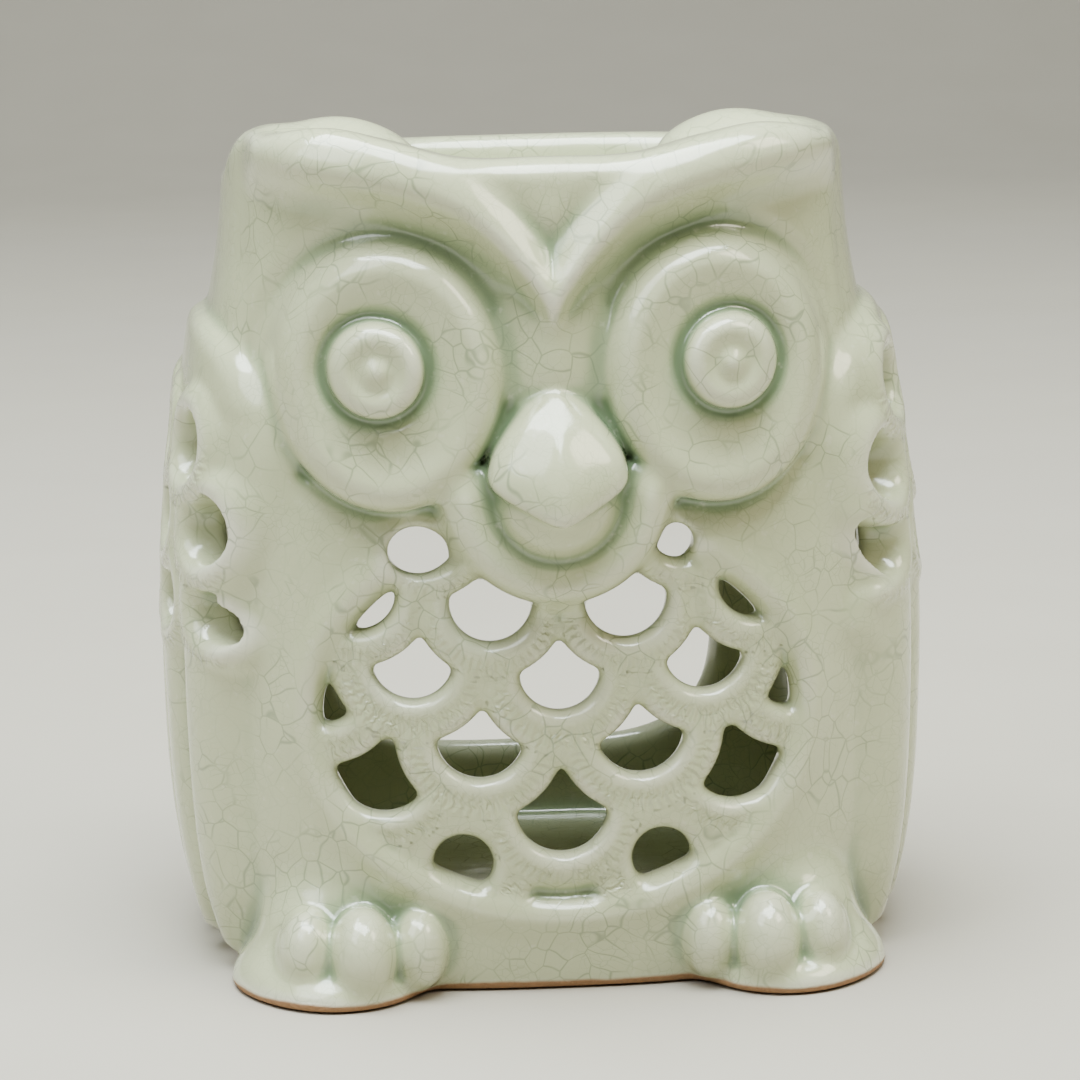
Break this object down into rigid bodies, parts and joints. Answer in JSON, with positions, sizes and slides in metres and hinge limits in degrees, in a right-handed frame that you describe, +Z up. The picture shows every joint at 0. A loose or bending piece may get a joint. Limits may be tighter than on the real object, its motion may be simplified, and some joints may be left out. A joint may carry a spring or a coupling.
{
  "type": "owl oil warmer",
  "caption": "Hollow glazed stoneware owl with a pierced scale belly and wings, a doorway in its back for a tealight and a shallow oil basin in its top.",
  "frame": {"origin": "on the underside, below the middle of the oil basin and the chamber", "axes": "+Z up, the owl looks along -Y, its doorway faces +Y, +X is the viewer's right when facing the owl"},
  "size_m": [0.108, 0.0952, 0.118],
  "materials": {
    "celadon_glaze": "gloss",
    "bare_stoneware": "matte"
  },
  "bodies": {
    "root": {"back_shell": "celadon_glaze", "base_slab": "bare_stoneware", "beak": "celadon_glaze", "belly_panel": "celadon_glaze", "chin_ruff": "celadon_glaze", "forehead_crest": "celadon_glaze", "front_shell": "celadon_glaze", "left_brow": "celadon_glaze", "left_ear_tuft": "celadon_glaze", "left_eye_disc": "celadon_glaze", "left_flight_feathers": "celadon_glaze", "left_foot": "celadon_glaze", "left_pupil": "celadon_glaze", "left_toes": "celadon_glaze", "left_wing": "celadon_glaze", "lower_beak": "celadon_glaze", "oil_basin": "celadon_glaze", "right_brow": "celadon_glaze", "right_ear_tuft": "celadon_glaze", "right_eye_disc": "celadon_glaze", "right_flight_feathers": "celadon_glaze", "right_foot": "celadon_glaze", "right_pupil": "celadon_glaze", "right_toes": "celadon_glaze", "right_wing": "celadon_glaze"}
  },
  "joints": []
}
